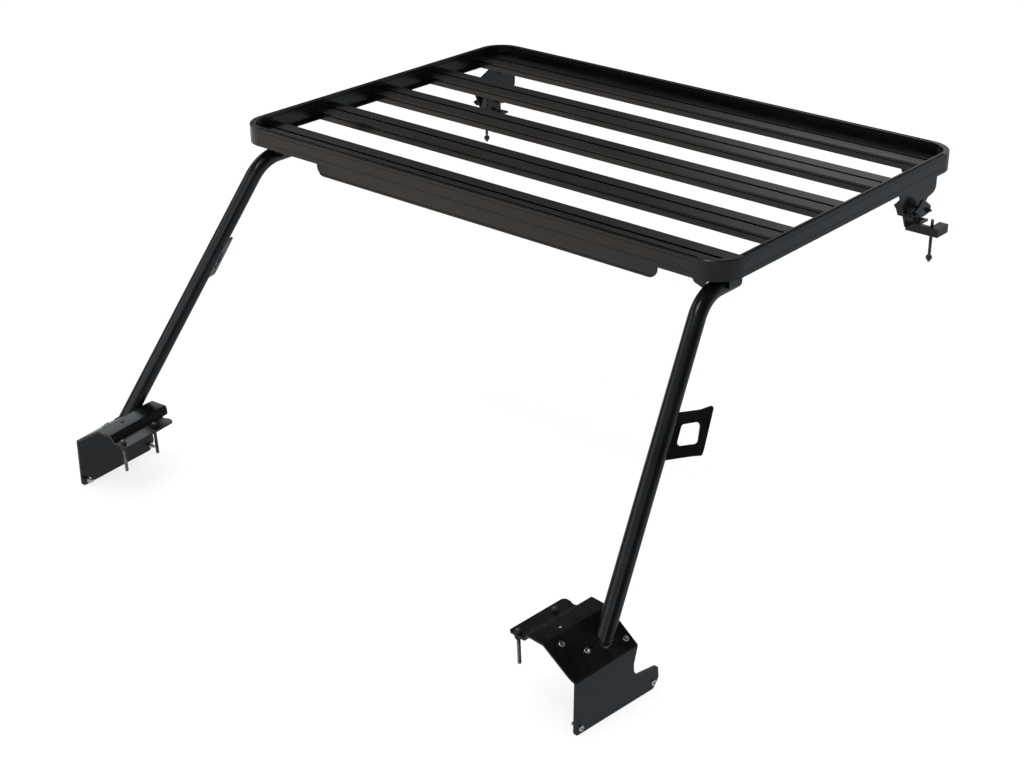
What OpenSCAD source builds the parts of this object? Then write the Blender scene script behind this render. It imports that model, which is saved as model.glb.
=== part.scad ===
// Flat platform roof rack: a slatted tray with a wind deflector, two bent front
// legs on cowl brackets and two rear gutter clamps. Units are millimetres, +Z is up,
// +X runs along the slats and +Y runs from the near edge to the far edge.
// The origin is on the underside of the right cowl bracket's flat.

/* [Tray] */
// width of the tray over its side rails
tray_w = 1425; // [1400:1:1440]
// length of the tray over its near and far rails
tray_l = 954; // [945:1:975]
// height of the rails
rail_h = 45; // [44:0.5:50]
// thickness of the rails above their foot
rail_w = 14.5; // [13:0.5:16]
// width of the rails at their foot
foot_w = 29.5; // [26:0.5:32]
// thickness of the foot that carries the slats
foot_t = 2.5; // [2:0.1:3]
// outer radius of the corner castings
corner_r = 70; // [60:1:80]

/* [Slats] */
// distance of the first slat behind the near edge
slat_in = 36; // [35:0.5:38]
// width of a slat
slat_w = 80; // [70:1:85]
// height of a slat
slat_h = 21; // [20:0.5:24]
// width of the mouth of the T-slot
slot_mouth = 8.4; // [7:0.1:10]
// width of the T-slot under its lips
slot_inner = 15; // [13:0.5:18]
// thickness of the T-slot's lips
slot_lip = 2; // [1.5:0.1:3]
// height of the T-slot under its lips
slot_deep = 6; // [5:0.5:7]

/* [Wind deflector] */
// width of the deflector
defl_w = 1012; // [800:1:1100]
// height of the deflector's plate
defl_h = 59.5; // [45:0.5:80]
// thickness of the deflector's sheet
defl_t = 2.5; // [2:0.5:4]
// distance of the plate behind the near edge of the tray
defl_y = 60; // [55:1:65]

/* [Front legs] */
// outer diameter of the tube
tube_d = 38; // [34:1:40]
// wall of the tube
tube_wall = 3; // [2:0.5:5]
// radius of the bend at the top, on the tube's axis
bend_r = 95; // [85:1:105]
// angle that the leg turns through at the bend
bend_angle = 54.3; // [52:0.1:56]
// outward lean of the plane of the leg
lean_angle = 8.37; // [7.5:0.01:9]
// distance of the upper tube inside the side of the tray
leg_in = 60; // [57:0.5:64]
// place of the bend's corner behind the near edge
leg_y = 18; // [15:0.5:22]
// depth of the upper tube's axis under the top of the tray
leg_z = 82; // [80:0.5:84]
// far end of the upper tube behind the near edge
leg_end_y = 128; // [122:1:140]

/* [Loop brackets] */
// reach of the loop from the leg's axis
loop_reach = 98; // [94:1:104]
// height of the loop's outer side along the leg
loop_h = 101; // [95:1:108]
// thickness of the loop's sheet
loop_t = 4; // [3:0.5:5]

/* [Cowl brackets] */
// thickness of the sheet
plate_t = 5; // [4:0.5:6]
// distance of the near hanging stud inside the upper tube
cowl_in = 42.5; // [38:0.5:47]
// distance of the near hanging stud in front of the tray
cowl_y = 505; // [495:1:515]
// depth of the bracket's upper flat under the top of the tray
cowl_z = 622; // [618:1:626]
// angle that the bracket is turned outward at its far end
cowl_turn = 5.5; // [3:0.5:8]
// angle that the bracket rises by towards its far end
cowl_pitch = 2.2; // [1:0.1:4]
// diameter of the hole in the upper flat
cowl_hole_d = 9; // [7:0.5:11]
// diameter of the hanging studs
stud_d = 8; // [6:1:10]
// length of the hanging studs under the flange
stud_l = 68; // [50:1:80]

/* [Rear clamps] */
// distance of the side plate inside the side of the tray
clamp_in = 52.5; // [50:0.5:56]
// distance that the side plate's far end stands past the far rail
clamp_past = 1; // [0:0.5:3]
// thickness of the clamp's sheet
clamp_t = 5; // [4:0.5:6]
// diameter of the long draw bolt
draw_d = 8; // [6:1:10]
// length of the long draw bolt
draw_l = 93; // [85:1:110]

/* [Hidden] */

// colours of the finishes
coat = [0.13, 0.13, 0.13];
coat_light = [0.2, 0.2, 0.2];
zinc = [0.55, 0.56, 0.58];

// shared sizes
slat_n = 5;
half = tray_w / 2;
leg_x = half - leg_in;
cowl_x = leg_x - cowl_in;
clamp_x = half - clamp_in;
clamp_y = tray_l + clamp_past;
overrun = 2;
fit = 0.2;
round_n = 5;
fn_bore = 40;
fn_hex = 6;
fn_arc = 96;
slat_under = rail_h - foot_t;
slat_top = slat_under - slat_h;
slat_len = tray_w - 2 * rail_w;
slat_pitch = (tray_l - 2 * slat_in - slat_w) / (slat_n - 1);

// sizes of the rail's section
rail_wall = 2.5;
top_bevel = 1.5;
line_d = 0.8;
line_h = 1.6;
line_low = 32;
line_high = 7.5;
top_line_at = 3.2;
top_line_w = 5;
top_line_d = 3;
side_slot_d = 2;
side_slot_h = 3;
side_slot_at = 4.5;
chamber_top = 5.5;

// sizes of the corner castings
spigot_l = 40;
cast_wall = 4;
cast_top = 6;
cast_low = 20;
cast_boss = 12;

// sizes of the slat's section
slat_wall = 2;
slat_edge = 2.5;
groove_h = 5;
groove_d = 3.5;
slot_wall = 1.8;

// sizes of the fasteners under the tray
bolt_d = 8;
bolt_head_af = 13;
bolt_head_h = 5.3;
bolt_up = 8;
bolt_in = 20;
washer_d = 17;
washer_t = 1.6;
hex_d = bolt_head_af / cos(180 / fn_hex);

// sizes of the deflector
defl_flange = 26;
defl_round = 22;
hem_h = 5;
hem_t = 1.5;
defl_bolt_at = 15;
defl_bolt_share = [-0.42, -0.14, 0.14, 0.42];

// sizes of the leg mounts
mount_in = 52;
mount_out = 24.2;
mount_front = 46;
mount_l = 72;
mount_t = 5;
lug_in = 48;
lug_h = 40;
lug_share = [[0, 0], [1, 0], [1, 0.42], [0.82, 0.92], [0.62, 1], [0.18, 0.82], [0, 0.5]];
lug_round = 4;
web_l = 44;
mount_bolt_share = [0.325, 0.9];
mount_bolt_y = [for (s = mount_bolt_share) slat_in + s * slat_w];
mount_bolt_in = 37.5;
mount_bolt_x = leg_x - mount_bolt_in;
cap_t = 3;
seam_gap = 0.02;
seam_in = 0.2;
seam_l = 1;

// sizes of the leg below its bend
leg_fall = 700;
leg_foot_share = [0.5, 0.5];

// sizes of the loop brackets, the points as shares of the reach and the height
loop_down = 204.5;
loop_turn = 63.8;
loop_share = [[0.16, 0.37], [0.67, 0.15], [0.89, 0], [0.95, 0.02], [1, 0.88], [0.99, 1.01], [0.75, 1.1],
    [0.16, 1.36]];
loop_rounds = [0, 20, 3, 5, 8, 5, 12, 0];
window_share = [[0.345, 0.56], [0.755, 0.37], [0.825, 0.81], [0.355, 1.01]];
window_rounds = [7, 8, 9, 7];

// sizes of the cowl brackets, the points as shares of the depth and the drop
flange_in = 20;
flange_out = 23;
flange_drop = 14;
flat_in = 31;
slope_in = 77;
slope_w = 84;
slope_fall = 52;
bend_round = 6;
cowl_front = 7;
cowl_depth = 187;
outer_drop = 123;
side_share = [[0.012, 0], [0.938, 0], [0.874, 0.33], [0.876, 0.563], [1.249, 0.65],
    [1.258, 0.895], [1.174, 1.06], [-0.024, 1]];
side_round = [0, 0, 20, 18, 11, 12, 12, 10];
plan_share = [[0.02, 0], [0.9, 0], [1, 0.012], [1, 0.938], [0.6, 0.955], [0.235, 0.955], [0.235, 0.77],
    [0.1, 0.82], [0, 0.82], [0, 0.02]];
plan_round = [5, 0, 0, 0, 12, 8, 12, 12, 10, 5];
flange_bolt_y = [0, 100];
flat_hole = [58.5, 57];
slope_bolt_share = [[0.19, 0.175], [0.565, 0.374], [0.765, 0.858]];
side_bolt_share = [[0.067, 0.898], [1.17, 0.933]];
nut_af = 13;
nut_h = 6.5;
nut_d = nut_af / cos(180 / fn_hex);
stud_up = 2.5;
dome_d = 13;
dome_h = 4.2;
grip_l = 18;
side_grip_l = 23;

// sizes of the rear clamps, the points as shares of the length and the drop
clamp_l = 172;
clamp_drop = 131.5;
side_plate_share = [[0.45, 0], [1, 0], [1, 0.58], [0.8, 0.63], [0.645, 0.78], [0.645, 1],
    [0.24, 1], [0.04, 0.42], [0, 0.3], [0.2, 0.14]];
side_plate_round = [0, 14, 18, 8, 8, 0, 0, 4, 4, 4];
shelf_w = 60;
shelf_l = 80;
shelf_in = 82;
cheek_w = 30;
cheek_back = 144;
cheek_y = clamp_y - cheek_back;
cheek_top = 100;
cheek_drop = 44;
cheek_share = [[1, 0.1], [0.45, 0.15], [0, 0.5], [0.2, 0.65], [0.4, 1], [1, 1]];
jaw_out = 16;
jaw_x = clamp_x + jaw_out;
jaw_t = 5;
jaw_back = 143;
jaw_y = clamp_y - jaw_back;
jaw_l = 85;
jaw_top = 112;
jaw_h = 42;
jaw_share = [[0.51, 0], [0.6, 0], [1, 0.55], [1, 0.93], [0.6, 1], [0.08, 0.76], [0, 0.48], [0.3, 0.3]];
jaw_round = [3, 4, 6, 6, 6, 4, 3, 4];
jaw_bolt_back = [[131, 138], [73, 142]];
jaw_bolt_at = [for (b = jaw_bolt_back) [clamp_y - b[0], b[1]]];
jaw_bolt_d = 6;
jaw_bolt_in = 20;
web_bolt_back = [87, 162];
web_bolt_at = [clamp_y - web_bolt_back[0], web_bolt_back[1]];
web_bolt_out = 20;
jaw_nut_af = 10;
jaw_nut_h = 5;
arm_reach = [-20, 65];
arm_gap_reach = [12, 42];
arm_back = [97, 47];
arm_in = clamp_x + arm_reach[0];
arm_out = clamp_x + arm_reach[1];
arm_near = clamp_y - arm_back[0];
arm_far = clamp_y - arm_back[1];
arm_top = 174;
arm_h = 21;
arm_gap_in = clamp_x + arm_gap_reach[0];
arm_gap_out = clamp_x + arm_gap_reach[1];
draw_out = 37;
draw_back = 74;
draw_x = clamp_x + draw_out;
draw_y = clamp_y - draw_back;
draw_up = 12;
draw_nut_h = 9;
draw_nut_at = 78;
shelf_bolt_share = [0.25, 0.75];
shelf_bolt_y = [for (s = shelf_bolt_share) tray_l - slat_in - slat_w + s * slat_w];
shelf_bolt_in = 35;
shelf_bolt_x = clamp_x - shelf_bolt_in;

// moves the tray's own frame to the frame of the part, whose origin is under the bracket's flat
origin_spot = [54, 88];
origin_far = origin_spot[1] * cos(cowl_pitch) + plate_t * sin(cowl_pitch);
origin_at = [cowl_x + origin_spot[0] * cos(cowl_turn) + origin_far * sin(cowl_turn),
    origin_far * cos(cowl_turn) - origin_spot[0] * sin(cowl_turn) - cowl_y,
    origin_spot[1] * sin(cowl_pitch) - plate_t * cos(cowl_pitch) - cowl_z];
module placed() {
    translate(-origin_at)
        children();
}

module mirrored() {
    mirror([1, 0, 0])
        children();
}

// geometry helpers: rounded outlines and bent strips
function unit(v) = v / norm(v);
function fillet(a, p, b, r, n) = r <= 0 ? [p] : let(
    u = unit(a - p), w = unit(b - p), h = acos(u * w) / 2,
    c = p + unit(u + w) * (r / sin(h)), s = p + u * r / tan(h) - c, e = p + w * r / tan(h) - c,
    a0 = atan2(s[1], s[0]), turn = (atan2(e[1], e[0]) - a0 + 540) % 360 - 180)
    [for (k = [0:n]) c + r * [cos(a0 + turn * k / n), sin(a0 + turn * k / n)]];
function rounded_loop(pts, rs) = let(m = len(pts)) [for (i = [0:m - 1])
    each fillet(pts[(i + m - 1) % m], pts[i], pts[(i + 1) % m], rs[i], round_n)];
function rounded_line(pts, r) = let(m = len(pts)) concat([pts[0]],
    [for (i = [1:m - 2]) each fillet(pts[i - 1], pts[i], pts[i + 1], r, round_n)], [pts[m - 1]]);
function right_of(a, b) = let(d = unit(b - a)) [d[1], -d[0]];
function side_step(pts, t) = let(m = len(pts)) [for (i = [0:m - 1]) let(
    n1 = right_of(pts[max(i - 1, 0)], pts[max(i, 1)]),
    n2 = right_of(pts[min(i, m - 2)], pts[min(i + 1, m - 1)]))
    pts[i] + (n1 + n2) * t / (1 + n1 * n2)];
function strip(pts, t) = let(o = side_step(pts, t), m = len(pts))
    concat(pts, [for (i = [0:m - 1]) o[m - 1 - i]]);
function scaled(share, a, b) = [for (s = share) [s[0] * a, s[1] * b]];

// upright prism along X: the outline is in Y and Z
module along_x(x0, x1, pts) {
    translate([x0, 0, 0])
        rotate([90, 0, 90])
            linear_extrude(height = x1 - x0)
                polygon(pts);
}

// upright prism along Y: the outline is in X and Z
module along_y(y0, y1, pts) {
    translate([0, y1, 0])
        rotate([90, 0, 0])
            linear_extrude(height = y1 - y0)
                polygon(pts);
}

module box(lo, hi) {
    translate(lo)
        cube(hi - lo);
}

// round bar up from a point
module rod(at, d, h) {
    translate(at)
        cylinder(d = d, h = h, $fn = fn_bore);
}

// Rail section: u is measured inward from the outer face and v up from the top
function rail_outline() = [[0, -rail_h], [foot_w, -rail_h], [foot_w, -slat_under],
    [rail_w, -slat_under], [rail_w, -side_slot_at - side_slot_h],
    [rail_w - side_slot_d, -side_slot_at - side_slot_h], [rail_w - side_slot_d, -side_slot_at],
    [rail_w, -side_slot_at], [rail_w, -top_bevel / 2], [rail_w - top_bevel / 2, 0],
    [top_line_at + top_line_w, 0], [top_line_at + top_line_w, -top_line_d],
    [top_line_at, -top_line_d], [top_line_at, 0], [top_bevel, 0], [0, -top_bevel],
    [0, -line_high], [line_d, -line_high], [line_d, -line_high - line_h], [0, -line_high - line_h],
    [0, -line_low], [line_d, -line_low], [line_d, -line_low - line_h], [0, -line_low - line_h]];
function chamber_outline(gap) = let(w = rail_wall + gap, f = rail_w - rail_wall - side_slot_d - gap)
    [[w, -slat_under + gap], [f, -slat_under + gap], [f, -chamber_top - gap], [w, -chamber_top - gap]];

// straight rail that runs along +X from a to b with its outer face at y = 0
module rail_bar(a, b) {
    difference() {
        along_x(a, b, rail_outline());
        along_x(a - overrun, b + overrun, chamber_outline(0));
    }
}

module near_rail() {
    color(coat) placed()
        rail_bar(corner_r - half, half - corner_r);
}

module far_rail() {
    color(coat) placed()
        translate([0, tray_l, 0])
            rotate([0, 0, 180])
                rail_bar(corner_r - half, half - corner_r);
}

// side rails are drilled through the foot, one bolt for each slat's end
module side_rail(turn) {
    difference() {
        rotate([0, 0, turn])
            translate([0, -half, 0])
                rail_bar(-tray_l / 2 + corner_r, tray_l / 2 - corner_r);
        for (i = [0:slat_n - 1])
            rod([(turn > 0 ? 1 : -1) * (half - bolt_in), slat_mid(i) - tray_l / 2, -rail_h - overrun],
                bolt_d + 2 * fit, foot_t + 2 * overrun);
    }
}

module left_rail() {
    color(coat) placed()
        translate([0, tray_l / 2, 0])
            side_rail(-90);
}

module right_rail() {
    color(coat) placed()
        translate([0, tray_l / 2, 0])
            side_rail(90);
}

// Corner casting: a quarter ring with a thin outer wall and an inner lip, and for each rail
// a boss with a spigot. The ring's section is in radius and height.
function ring_outline() = let(inner = corner_r - rail_w, outer = corner_r - cast_wall)
    [[corner_r, -rail_h], [corner_r, -top_bevel], [corner_r - top_bevel, 0],
    [inner + top_bevel / 2, 0], [inner, -top_bevel / 2], [inner, -cast_low],
    [inner + cast_wall, -cast_low], [inner + cast_wall, -cast_top], [outer, -cast_top],
    [outer, -rail_h]];
module corner_body() {
    translate([corner_r, corner_r, 0])
        rotate([0, 0, 180])
            rotate_extrude(angle = 90, $fn = fn_arc)
                polygon(ring_outline());
    for (m = [0, 1])
        mirror([m, -m, 0]) {
            intersection() {
                box([corner_r - cast_boss, 0, -rail_h], [corner_r, rail_w, -cast_top / 2]);
                translate([corner_r, corner_r, -rail_h])
                    cylinder(r = corner_r - cast_wall / 2, h = rail_h, $fn = fn_arc);
            }
            along_x(corner_r - cast_boss / 2, corner_r + spigot_l, chamber_outline(fit));
        }
}

module near_left_corner() {
    color(coat_light) placed()
        translate([-half, 0, 0])
            corner_body();
}

module near_right_corner() {
    color(coat_light) placed()
        translate([half, 0, 0])
            mirrored()
                corner_body();
}

module far_left_corner() {
    color(coat_light) placed()
        translate([-half, tray_l, 0])
            mirror([0, 1, 0])
                corner_body();
}

module far_right_corner() {
    color(coat_light) placed()
        translate([half, tray_l, 0])
            rotate([0, 0, 180])
                corner_body();
}

// Slat section: a box with a T-slot on top and a shallow groove down each side
function slat_mid(i) = slat_in + slat_w / 2 + i * slat_pitch;
function half_slat(s) = let(w = slat_w / 2) [[s * w, -slat_h], [s * w, -slat_edge - groove_h],
    [s * (w - groove_d), -slat_edge - groove_h], [s * (w - groove_d), -slat_edge], [s * w, -slat_edge],
    [s * w, 0], [s * slot_mouth / 2, 0], [s * slot_mouth / 2, -slot_lip],
    [s * slot_inner / 2, -slot_lip], [s * slot_inner / 2, -slot_lip - slot_deep]];
function flipped(p) = [for (i = [len(p) - 1:-1:0]) p[i]];
function half_hollow(s) = let(w = slat_w / 2 - slat_wall, in = w - groove_d,
    turn = -slat_edge - groove_h - slat_wall, c = slot_inner / 2 + slot_wall)
    [[s * w, -slat_h + slat_wall], [s * w, turn], [s * in, turn], [s * in, -slat_wall],
    [s * c, -slat_wall], [s * c, -slot_lip - slot_deep - slot_wall]];
module slat(i) {
    color(coat_light) placed()
        translate([0, slat_mid(i), -slat_top])
            difference() {
                along_x(-slat_len / 2, slat_len / 2, concat(half_slat(1), flipped(half_slat(-1))));
                along_x(-slat_len / 2 - overrun, slat_len / 2 + overrun,
                    concat(half_hollow(1), flipped(half_hollow(-1))));
                for (p = slat_holes(i))
                    rod([p[0], p[1] - slat_mid(i), -slat_h - overrun], bolt_d + 2 * fit,
                        slat_wall + 2 * overrun);
            }
}

// where bolts come up into each slat: its two ends, and what hangs below it
function end_holes(i) = [for (s = [-1, 1]) [s * (half - bolt_in), slat_mid(i)]];
function hung_holes(i) =
    i == 0 ? concat([for (s = [-1, 1], y = mount_bolt_y) [s * mount_bolt_x, y]],
        [for (s = defl_bolt_share) [s * defl_w, defl_y + defl_bolt_at]])
    : i == slat_n - 1 ? [for (s = [-1, 1], y = shelf_bolt_y) [s * shelf_bolt_x, y]]
    : [];
function slat_holes(i) = concat(end_holes(i), hung_holes(i));

module slat_1() slat(0);
module slat_2() slat(1);
module slat_3() slat(2);
module slat_4() slat(3);
module slat_5() slat(4);

// Bolts under the tray: hexagon heads on washers
module tray_bolt(at, grip) {
    translate([at[0], at[1], -slat_under - grip]) {
        translate([0, 0, -washer_t - bolt_head_h])
            cylinder(d = hex_d, h = bolt_head_h, $fn = fn_hex);
        translate([0, 0, -washer_t])
            cylinder(d = washer_d, h = washer_t, $fn = fn_bore);
        translate([0, 0, -washer_t])
            cylinder(d = bolt_d, h = bolt_up + grip + washer_t, $fn = fn_bore);
    }
}

module tray_bolts() {
    color(zinc) placed() {
        for (i = [0:slat_n - 1], p = end_holes(i))
            tray_bolt(p, foot_t);
        for (s = [-1, 1], y = mount_bolt_y)
            tray_bolt([s * mount_bolt_x, y], mount_t);
        for (s = [-1, 1], y = shelf_bolt_y)
            tray_bolt([s * shelf_bolt_x, y], clamp_t);
        for (s = defl_bolt_share)
            tray_bolt([s * defl_w, defl_y + defl_bolt_at], defl_t);
    }
}

// Wind deflector: an angle whose plate has rounded low corners and a hemmed low edge
module wind_deflector() {
    w = defl_w / 2;
    low = slat_under + defl_h;
    face = [[-w, -slat_under], [w, -slat_under], [w, -low], [-w, -low]];
    bend = [[defl_y, -slat_under], [defl_y + defl_flange, -slat_under],
        [defl_y + defl_flange, -slat_under - defl_t], [defl_y + defl_t, -slat_under - defl_t],
        [defl_y + defl_t, -low], [defl_y - hem_t, -low], [defl_y - hem_t, -low + hem_h],
        [defl_y, -low + hem_h]];
    color(coat) placed()
        difference() {
            intersection() {
                along_x(-w, w, bend);
                along_y(defl_y - hem_t, defl_y + defl_flange,
                    rounded_loop(face, [0, 0, defl_round, defl_round]));
            }
            for (s = defl_bolt_share)
                rod([s * defl_w, defl_y + defl_bolt_at, -slat_under - defl_t - overrun],
                    bolt_d + 2 * fit, defl_t + 2 * overrun);
        }
}

// Leg: one tube, level under the tray, bent once and cut to the cowl bracket's slope
module leg_frame() {
    translate([leg_x, leg_y, -leg_z])
        rotate([0, -lean_angle, 0])
            children();
}

// the frame of the bend's sweep: its axis is Z, the tube starts on +X and turns to +Y
bend_lead = bend_r * tan(bend_angle / 2);
module bend_frame() {
    leg_frame()
        translate([0, bend_lead, -bend_r])
            rotate([0, -90, 180])
                children();
}

module straight(turn, side, d, from, to) {
    rotate([0, 0, turn])
        translate([bend_r, 0, 0])
            rotate([-90 * side, 0, 0])
                translate([0, 0, from])
                    cylinder(d = d, h = to - from, $fn = fn_bore);
}

// the welded seam between the bend and a straight run
module seam(turn, side) {
    difference() {
        straight(turn, side, tube_d - 2 * seam_in, -seam_l, seam_l);
        straight(turn, side, tube_d - 2 * tube_wall + 2 * seam_in, -seam_l - overrun, seam_l + overrun);
    }
}

module bend_run() {
    rotate_extrude(angle = bend_angle, $fn = fn_bore)
        translate([bend_r, 0])
            difference() {
                circle(d = tube_d, $fn = fn_bore);
                circle(d = tube_d - 2 * tube_wall, $fn = fn_bore);
            }
}

module below_slope() {
    cowl_frame()
        on_slope(leg_foot_share)
            box([-cowl_depth, -cowl_depth, -leg_fall], [cowl_depth, cowl_depth, 0]);
}

module leg() {
    bore = tube_d - 2 * tube_wall;
    end = leg_end_y - leg_y - bend_lead;
    bend_frame() {
        difference() {
            straight(0, -1, tube_d, seam_gap, end);
            straight(0, -1, bore, -overrun, end - cap_t);
        }
        seam(0, -1);
        bend_run();
        seam(bend_angle, 1);
    }
    difference() {
        bend_frame()
            straight(bend_angle, 1, tube_d, seam_gap, leg_fall);
        bend_frame()
            straight(bend_angle, 1, bore, -overrun, leg_fall + overrun);
        below_slope();
    }
}

module right_leg() {
    color(coat) placed()
        leg();
}

module left_leg() {
    color(coat) placed()
        mirrored()
            leg();
}

// Leg mount: a shelf under the first slat, a lug turned down in front and two webs
module leg_mount() {
    top = -slat_under;
    r = tube_d / 2;
    lug = scaled(lug_share, lug_in, -lug_h);
    difference() {
        union() {
            box([leg_x - mount_in, mount_front, top - mount_t],
                [leg_x + mount_out, mount_front + mount_l, top]);
            translate([leg_x - mount_in, 0, top])
                along_y(mount_front, mount_front + mount_t,
                    rounded_loop(lug, [0, 0, lug_round, lug_round, lug_round, lug_round, lug_round]));
            for (x = [leg_x - r - fit - mount_t, leg_x + r + fit])
                box([x, mount_front + mount_l - web_l, -leg_z],
                    [x + mount_t, mount_front + mount_l, top]);
        }
        for (y = mount_bolt_y)
            rod([mount_bolt_x, y, top - mount_t - overrun], bolt_d + 2 * fit, mount_t + 2 * overrun);
        bend_frame()
            straight(0, -1, tube_d + 2 * fit, -bend_lead, 2 * leg_end_y);
    }
}

module right_leg_mount() {
    color(coat) placed()
        leg_mount();
}

module left_leg_mount() {
    color(coat) placed()
        mirrored()
            leg_mount();
}

// Loop bracket: a slanted loop of sheet that stands off the back of the leg
module loop_bracket() {
    outline = scaled(loop_share, loop_reach, -loop_h);
    window = scaled(window_share, loop_reach, -loop_h);
    difference() {
        leg_frame()
            rotate([bend_angle - 90, 0, 0])
                translate([0, 0, -loop_down])
                    rotate([0, 0, loop_turn])
                        translate([0, loop_t / 2, 0])
                            rotate([90, 0, 0])
                                linear_extrude(height = loop_t)
                                    difference() {
                                        polygon(rounded_loop(outline, loop_rounds));
                                        polygon(rounded_loop(window, window_rounds));
                                    }
        bend_frame()
            straight(bend_angle, 1, tube_d, 0, leg_fall);
    }
}

module right_loop() {
    color(coat) placed()
        loop_bracket();
}

module left_loop() {
    color(coat) placed()
        mirrored()
            loop_bracket();
}

// Cowl bracket: one bent sheet with a low flange, a flat, a slope and an outer plate.
// Its own frame starts at the near hanging stud and is turned with the bracket.
module cowl_frame() {
    translate([cowl_x, -cowl_y, -cowl_z])
        rotate([cowl_pitch, 0, -cowl_turn])
            children();
}

outer_x = slope_in + slope_w;
function cowl_line() = rounded_line([[-flange_in, -flange_drop], [flange_out, -flange_drop], [flat_in, 0],
    [slope_in, 0], [outer_x, -slope_fall],
    [outer_x, -slope_fall - outer_drop - 2 * bend_round]], bend_round);
module cowl_bracket() {
    plan = scaled(plan_share, outer_x + flange_in, cowl_depth);
    side = scaled(side_share, cowl_depth, -outer_drop);
    cowl_frame()
        difference() {
            intersection() {
                along_y(-2 * cowl_front, 2 * cowl_depth, strip(cowl_line(), plate_t));
                union() {
                    translate([-flange_in, -cowl_front, -slope_fall])
                        linear_extrude(height = outer_drop)
                            polygon(rounded_loop(plan, plan_round));
                    translate([0, -cowl_front, -slope_fall])
                        along_x(outer_x - 2 * plate_t, outer_x + overrun, rounded_loop(side, side_round));
                }
            }
            for (y = flange_bolt_y)
                rod([0, y, -flange_drop - 2 * plate_t], stud_d + 2 * fit, 3 * plate_t);
            rod([flat_hole[0], flat_hole[1], -2 * plate_t], cowl_hole_d, 3 * plate_t);
            for (s = slope_bolt_share)
                on_slope(s)
                    translate([0, 0, -2 * plate_t])
                        cylinder(d = stud_d + 2 * fit, h = 3 * plate_t, $fn = fn_bore);
            for (s = side_bolt_share)
                on_side(s)
                    translate([0, 0, -2 * plate_t])
                        cylinder(d = stud_d + 2 * fit, h = 3 * plate_t, $fn = fn_bore);
        }
}

// a place on the slope: shares across it and along it
module on_slope(s) {
    translate([slope_in + s[0] * slope_w, s[1] * cowl_depth - cowl_front, -s[0] * slope_fall])
        rotate([0, atan(slope_fall / slope_w), 0])
            children();
}

// a place on the outer plate: shares along it and down it
module on_side(s) {
    translate([outer_x, s[0] * cowl_depth - cowl_front, -slope_fall - s[1] * outer_drop])
        rotate([0, 90, 0])
            children();
}

module right_cowl_bracket() {
    color(coat) placed()
        cowl_bracket();
}

module left_cowl_bracket() {
    color(coat) placed()
        mirrored()
            cowl_bracket();
}

// hanging studs: a nut above the flange, a washer and a nut under it
module cowl_studs() {
    cowl_frame()
        for (y = flange_bolt_y)
            translate([0, y, -flange_drop]) {
                cylinder(d = nut_d, h = nut_h, $fn = fn_hex);
                translate([0, 0, -plate_t - stud_l])
                    cylinder(d = stud_d, h = stud_l + plate_t + nut_h + stud_up, $fn = fn_bore);
                translate([0, 0, -plate_t - washer_t])
                    cylinder(d = washer_d, h = washer_t, $fn = fn_bore);
                translate([0, 0, -plate_t - washer_t - nut_h])
                    cylinder(d = nut_d, h = nut_h, $fn = fn_hex);
            }
}

module right_cowl_studs() {
    color(zinc) placed()
        cowl_studs();
}

module left_cowl_studs() {
    color(zinc) placed()
        mirrored()
            cowl_studs();
}

// domed bolts on the slope and on the outer plate, each with its nut behind
module domed_bolt(grip) {
    cylinder(d1 = dome_d, d2 = dome_d / 2, h = dome_h, $fn = fn_bore);
    translate([0, 0, -grip])
        cylinder(d = stud_d, h = grip + fit, $fn = fn_bore);
    translate([0, 0, -plate_t - nut_h])
        cylinder(d = nut_d, h = nut_h, $fn = fn_hex);
}

module cowl_bolts() {
    cowl_frame() {
        for (s = slope_bolt_share)
            on_slope(s)
                domed_bolt(grip_l);
        for (s = side_bolt_share)
            on_side(s)
                domed_bolt(side_grip_l);
    }
}

module right_cowl_bolts() {
    color(zinc) placed()
        cowl_bolts();
}

module left_cowl_bolts() {
    color(zinc) placed()
        mirrored()
            cowl_bolts();
}

// Rear side plate: a shelf bolted under the last slat, a tapered side and a front cheek
module side_plate() {
    side = scaled(side_plate_share, clamp_l, -clamp_drop);
    far = clamp_y - clamp_l;
    difference() {
        union() {
            translate([0, far, -slat_under])
                along_x(clamp_x - clamp_t, clamp_x, rounded_loop(side, side_plate_round));
            box([clamp_x - shelf_w, far + shelf_in - overrun, -slat_under - clamp_t],
                [clamp_x, far + shelf_in - overrun + shelf_l, -slat_under]);
            translate([clamp_x - cheek_w, 0, -cheek_top])
                along_y(cheek_y, cheek_y + clamp_t, scaled(cheek_share, cheek_w, -cheek_drop));
        }
        box([clamp_x - shelf_w - overrun, tray_l - foot_w - fit, -rail_h - fit],
            [clamp_x + overrun, clamp_y + overrun, 0]);
        for (y = shelf_bolt_y)
            rod([shelf_bolt_x, y, -slat_under - clamp_t - overrun], bolt_d + 2 * fit,
                clamp_t + 2 * overrun);
        for (p = concat(jaw_bolt_at, [web_bolt_at]))
            translate([clamp_x - 2 * clamp_t, p[0], -p[1]])
                rotate([0, 90, 0])
                    cylinder(d = jaw_bolt_d + 2 * fit, h = 3 * clamp_t, $fn = fn_bore);
    }
}

module right_side_plate() {
    color(coat) placed()
        side_plate();
}

module left_side_plate() {
    color(coat) placed()
        mirrored()
            side_plate();
}

// Jaw: the loose plate outside the side plate
module jaw() {
    difference() {
        translate([0, jaw_y, -jaw_top])
            along_x(jaw_x, jaw_x + jaw_t, rounded_loop(scaled(jaw_share, jaw_l, -jaw_h), jaw_round));
        for (p = jaw_bolt_at)
            translate([jaw_x - overrun, p[0], -p[1]])
                rotate([0, 90, 0])
                    cylinder(d = jaw_bolt_d + 2 * fit, h = jaw_t + 2 * overrun, $fn = fn_bore);
    }
}

module right_jaw() {
    color(coat) placed()
        jaw();
}

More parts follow.
